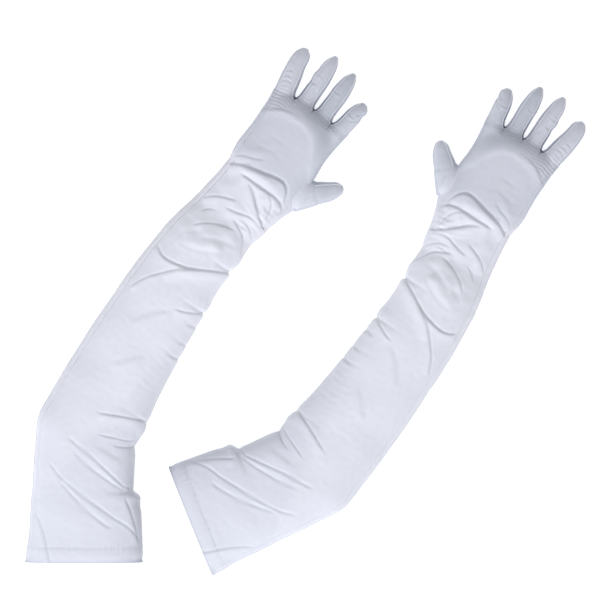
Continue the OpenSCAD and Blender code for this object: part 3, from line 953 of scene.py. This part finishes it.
wale_gap, course_gap = 0.00062, 0.00045      # metres between the knit's ribs, across and along the glove
knit_unevenness = (2.2, 1.6)                 # distortion and its scale
# The third colour of the satin and of the turned hem is their painted shade tint.
MATERIALS = {
    "satin": cloth_material("satin knit", (0.745, 0.757, 0.845), (0.720, 0.735, 0.825), (0.2725, 0.322, 0.4145),
                            roughness=0.40, sheen=0.25, weave=0.60, pucker=0.35),
    "facing": cloth_material("turned hem", (0.60, 0.615, 0.70), (0.58, 0.595, 0.68), (0.5, 0.52, 0.6),
                             roughness=0.6, sheen=0.2, weave=0.35, pucker=0.2),
    "thread": striped_material("sewing thread", "object", "DIAGONAL", 0.0004,
                               ((0.72, 0.74, 0.82, 1), (0.84, 0.86, 0.93, 1)),
                               roughness=0.5, sheen=0.25, strength=0.3, distance=0.0001),
    "elastic": striped_material("elastic band", "cloth", "Y", 0.0012, ((0.66, 0.67, 0.72, 1), (0.8, 0.81, 0.85, 1)),
                                roughness=0.7, sheen=0.0, strength=0.5, distance=0.0003),
}


# ---- pieces
def add_object(name, data):
    obj = bpy.data.objects.new(name, data)
    bpy.context.scene.collection.objects.link(obj)
    return obj


def make_piece(side, name, points, faces, slot, normals=None, cloth=None, pull=None):
    """A mesh object of one glove from points in the left glove's frame, mirrored and placed for that side."""
    place = places[side]
    world = np.column_stack([place.out(points[:, :2]), points[:, 2]]) * MM
    if side == "right":
        faces = [tuple(reversed(f)) for f in faces]
    mesh = bpy.data.meshes.new(side + "_" + name)
    mesh.from_pydata([tuple(p) for p in world], [], [tuple(int(k) for k in f) for f in faces])
    mesh.polygons.foreach_set("use_smooth", [True] * len(mesh.polygons))
    corner = np.zeros(len(mesh.loops), int)
    mesh.loops.foreach_get("vertex_index", corner)
    layer = mesh.uv_layers.new(name="cloth")
    if cloth is None:
        cloth = points[:, :2]
    layer.data.foreach_set("uv", (cloth[corner] * MM).astype(np.float32).ravel())
    # Painted shade for the material, kept in the stretch attribute and scaled so that the deepest painted shade is 1;
    # by default the painted shade of the glove's plan.
    if pull is None:
        pull = painted_shade_share(points[:, :2])
    mesh.attributes.new("stretch", "FLOAT", "POINT").data.foreach_set("value", (pull / deepest_painted_shade).astype(np.float32))
    if normals is not None:
        shown = np.column_stack([normals[:, :2] @ place.axes.T, normals[:, 2]])
        mesh.normals_split_custom_set_from_vertices([tuple(n) for n in shown])
    mesh.materials.append(MATERIALS[slot])
    obj = add_object(side + "_" + name, mesh)
    return obj


def world_point(side, xy):
    p = places[side].out(xy)
    return (p[0] * MM, p[1] * MM, 0.0)


def bend_ends(middle, before, after, reach):
    """The start and the end of a stretch of bending cloth, along the mean of the two directions."""
    d = before + after
    d /= np.linalg.norm(d)
    return middle - d * reach, middle + d * reach


# Over each joint: the bodies on both sides of it, and the ends of the cloth that bends from one to the other.
BENDS = {
    "upper": ("forearm", "upper", bend_ends(np.zeros(2), np.array([0.0, 1.0]), forearm.out([0, 1]), elbow_zone)[::-1]),
    "forearm": ("forearm", "hand", bend_ends(wrist, forearm.out([0, 1]), hand.out([0, 1]) - wrist, wrist_zone)),
}
for region, place in digits.items():
    zone = thumb_zone if region == "thumb" else digit_zone
    BENDS[region] = ("hand", region, (place.out([0, 0]), place.out([0, zone])))


def move_with(obj, side, region, cad=None):
    """Attaches a piece on the hem or the hand to its body; a piece over a bend is only fixed where it lies. It stands
    in place of a CAD node, which is hidden.
    """
    if region in BENDS:
        near, far, (start, end) = BENDS[region]
        world_point(side, start)
        world_point(side, end)
        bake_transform(obj)
    else:
        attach(obj, side + ("_upper" if region == "hem" else "_hand"))
    if cad:
        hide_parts(side + "_" + cad)


def sweep(line, out, width, rise, sides=8):
    """Rings of a low ridge along a line on the surface whose outward directions are given, closed at both ends."""
    run = np.gradient(line, axis=0)
    run /= np.maximum(np.linalg.norm(run, axis=1), 1e-9)[:, None]
    across = np.cross(run, out)
    across /= np.maximum(np.linalg.norm(across, axis=1), 1e-9)[:, None]
    angles = np.arange(sides) * 2 * math.pi / sides
    size = np.ones(len(line))
    size[0] = size[-1] = 0.05
    size[1] = size[-2] = 0.7
    sideways = (across * size[:, None])[:, None] * (width * np.cos(angles))[:, None]
    upward = (out * size[:, None])[:, None] * (rise * np.sin(angles))[:, None]
    return line[:, None] + sideways + upward


def add_ridge(side, name, lines, region, cad=None, size=finger_ridge, pale=True):
    """One piece of ridges along several (line, outward) pairs."""
    points, faces, count = [], [], 0
    for line, out in lines:
        rings = sweep(line, out, *size)
        points.append(rings.reshape(-1, 3))
        faces += tube_faces(len(line), rings.shape[1], count, flip=True)
        count += rings.shape[0] * rings.shape[1]
    points = np.concatenate(points)
    # A pale ridge takes no painted shade, so it shows as a pale rim, a painted highlight, against the painted shade
    # beside it; the others take the cloth's painted shade.
    pull = np.full(len(points), seam_painted_shade) if pale else None
    move_with(make_piece(side, name, points, faces, "satin", pull=pull), side, region, cad)


# A stitch's rings: place along it, thickness and height, the last two in thread widths.
STITCH = [(-0.5, 0.25, -0.25), (-0.32, 0.85, 0.35), (0.0, 1.0, 0.55), (0.32, 0.85, 0.35), (0.5, 0.25, -0.25)]


def add_stitches(side, name, line, out, region, pitch, length, slant=0.0, cad=None):
    """Separate stitches along a line, each a small spindle that dips into the cloth at both ends."""
    at = length_along(line)
    points, faces, count = [], [], 0
    for s in np.arange(pitch, at[-1] - pitch, pitch):
        c, beyond = resampled(at, [s, s + 0.5], line)
        ahead = beyond - c
        n = resampled(at, [s], out)[0]
        n /= np.linalg.norm(n)
        ahead -= n * (ahead @ n)
        ahead /= np.linalg.norm(ahead)
        run = ahead * math.cos(slant) + np.cross(n, ahead) * math.sin(slant)
        beside_run = np.cross(n, run)
        for f, size, high in STITCH:
            middle = c + run * length * f + n * thread_width * high
            a = np.arange(6) * math.pi / 3
            ring = np.cos(a)[:, None] * beside_run + np.sin(a)[:, None] * n
            points.append(middle + ring * thread_width * 0.5 * size)
        faces += tube_faces(len(STITCH), 6, count)
        count += 6 * len(STITCH)
    move_with(make_piece(side, name, np.concatenate(points), faces, "thread"), side, region, cad)


def line_on(ids, rise=0.0):
    """A line along these points of the cloth, and its outward directions."""
    p, n = skin.points[ids], glove.normals[ids]
    return p + n * rise, n


glove = Glove()
skin = glove.skin


def declare_sheet(cloth):
    """Works out a cloth piece's flat width from its own widest ring; nothing is declared, and the width is not kept."""
    width = 0.0
    for place_along in np.unique(cloth[:, 1]):
        across = np.sort(cloth[cloth[:, 1] == place_along, 0])
        steps = np.diff(across)
        span = steps.sum()
        if len(steps) > 1 and steps.max() > 0.3 * span:
            span = (span - steps.max()) * len(steps) / (len(steps) - 1)
        width = max(width, span * MM)


def cloth_pieces(side):
    """The satin cloth itself, a piece for each CAD piece of cloth."""
    for part in sorted(set(skin.parts)):
        faces = skin.faces[skin.parts == part]
        used, local = np.unique(faces, return_inverse=True)
        obj = make_piece(side, part + "_cloth", skin.points[used], local.reshape(faces.shape), "satin",
                         glove.normals[used], skin.cloth[used], skin.pull[used])
        declare_sheet(skin.cloth[used])
        move_with(obj, side, part.split("_")[0], part)


def side_seam(side):
    """The ridge of the side seam from the hem to the little finger's tip, with its overcast stitches."""
    ids = glove.ids[:, seam_place]
    little = glove.finger_ids["little"][:-4]
    to_edge = ease(np.arange(len(little)), 0, 12)[:, None]
    inner, edge = line_on(little[:, seam_place]), line_on(little[:, 2])
    spans = {"upper": line_on(ids[:split_ring + 1]), "forearm": line_on(ids[split_ring:hand_ring + 1]),
             "hand": line_on(ids[hand_ring:]), "little": [(1 - to_edge) * inner[k] + to_edge * edge[k] for k in (0, 1)]}
    for region, (line, out) in spans.items():
        size = little_ridge if region == "little" else sleeve_ridge
        add_ridge(side, region + "_side_seam", [(line, out)], region, region + "_seam", size, pale=False)
        add_stitches(side, region + "_side_stitches", line + out * size[1] * 0.7, out, region, *overcast,
                     slant=overcast_slant)


def finger_seams(side):
    """The ridges where the back of each finger joins the strips between the fingers."""
    for i, name in enumerate(FINGERS):
        steps = [fourchette_steps] * (i > 0) + [finger_top - fourchette_steps] * (i < 3)
        lines = [line_on(glove.finger_ids[name][:-5, step]) for step in steps]
        add_ridge(side, name + "_strip_seams", lines, name)


def fork_seams(side):
    """The short seams on the back of the hand that run round each fork, from one finger's strip to the next."""
    lines = []
    for i in range(1, 4):
        line, out = line_on(np.array([glove.ids[-1 - back, finger_top * i + step] for back, step in FORK_RUN]))
        lines.append((softened(line, 0.8), out))
    add_ridge(side, "fork_seams", lines, "hand")


def thumb_seam(side):
    """The seam round the thumb's root, over the top, and the one that closes the thumb along its fork side."""
    line = softened(glove.thumb_meets[1:finger_top], 1.2)
    out = np.tile([0.0, 0.0, 1.0], (len(line), 1)) + 0.6 * np.append(hand.out([1, 0]) - wrist, 0)
    out /= np.linalg.norm(out, axis=1)[:, None]
    add_ridge(side, "thumb_root_seam", [(line, out)], "hand", "thumb_seam", thumb_ridge)
    add_ridge(side, "thumb_side_seam", [line_on(glove.thumb_ids[6:-6, fourchette_steps])], "thumb")


def add_band(side, name, grid, slot, cad, flip=False):
    """A band of cloth round the inside of the hem."""
    cloth = around(grid).reshape(-1, 2)
    obj = make_piece(side, name, grid.reshape(-1, 3), tube_faces(*grid.shape[:2], flip=flip), slot, cloth=cloth)
    declare_sheet(cloth)
    move_with(obj, side, "hem", cad)


def hem(side):
    """The hem: its fold, the turned-in facing, the elastic in it and the line of stitches that holds it."""
    rings = int(round(hem_depth / ring_gap))
    ids = glove.ids[:rings + 1]
    p, n = skin.points[ids], glove.normals[ids]
    ahead = p[1].mean(axis=0) - p[0].mean(axis=0)
    ahead /= np.linalg.norm(ahead)
    fold = [p[0] - n[0] * hem_turn * (1 - math.cos(a)) - ahead * hem_turn * math.sin(a)
            for a in np.linspace(0, math.pi, 7)]
    inside = [p[k] - n[k] * lining_gap for k in range(1, rings + 1)]
    add_band(side, "hem_facing_cloth", np.array(fold + inside), "facing", "hem_facing", flip=True)
    band = np.array([p[k] - n[k] * elastic_gap for k in range(2, rings - 2)])
    add_band(side, "hem_elastic_band", band, "elastic", "hem_elastic")
    line, out = line_on(np.append(ids[rings], ids[rings][0]), 0.05)
    add_stitches(side, "hem_stitches", line, out, "hem", *hem_stitch, cad="hem_stitching")


for side in SIDES:
    cloth_pieces(side)
    side_seam(side)
    finger_seams(side)
    fork_seams(side)
    thumb_seam(side)
    hem(side)


# ---- floor, light and camera
view_width = 0.614                 # metres across the picture
view_centre = (-0.0056, 0.0118)
camera_height = 4.0
sensor = 36.0
floor_reach = 4.0
floor_gap = 0.0004                 # below the gloves
floor_glow = 0.62


def make_floor():
    """A wide pale floor just below the gloves, partly lit from within so that it stays almost free of shadow."""
    mesh = bpy.data.meshes.new("floor")
    w, z = floor_reach, -floor_gap
    mesh.from_pydata([(-w, -w, z), (w, -w, z), (w, w, z), (-w, w, z)], [], [(0, 1, 2, 3)])
    material, tree, shader = new_material("pale floor")
    grain = node(tree, "TexNoise", "Fac", {"Vector": node(tree, "TexCoord", "Object"), "Scale": 12})
    feed(tree, shader, {"Base Color": blended(tree, grain, (0.70, 0.70, 0.70, 1), (0.74, 0.74, 0.74, 1)),
                        "Roughness": 0.9, "Specular IOR Level": 0.1, "Emission Color": (1, 1, 1, 1),
                        "Emission Strength": floor_glow})
    mesh.materials.append(material)
    add_object("floor", mesh)


def make_light(name, place, size, power):
    """A square lamp that points at the middle of the scene."""
    light = bpy.data.lights.new(name, "AREA")
    light.size = size
    light.energy = power
    obj = add_object(name, light)
    obj.location = place
    obj.rotation_mode = "QUATERNION"
    obj.rotation_quaternion = (-Vector(place)).to_track_quat("-Z", "Y")


def make_world(strength):
    world = bpy.context.scene.world = bpy.data.worlds.new("studio")
    world.use_nodes = True
    feed(world.node_tree, world.node_tree.nodes["Background"], {"Color": (1, 1, 1, 1), "Strength": strength})


def make_camera():
    """Looks straight down from high above, so that the gloves show almost no perspective."""
    data = bpy.data.cameras.new("camera")
    data.type = "PERSP"
    data.sensor_width = sensor
    data.lens = sensor * camera_height / view_width
    data.clip_end = 50
    obj = add_object("camera", data)
    obj.location = (*view_centre, camera_height)
    bpy.context.scene.camera = obj


make_floor()
make_light("key", (-1.15, -2.10, 1.85), 1.2, 61)
make_light("top", (-0.3, -0.5, 3.0), 2.4, 20)
make_world(0.50)
make_camera()
bpy.context.scene.view_settings.view_transform = "Standard"
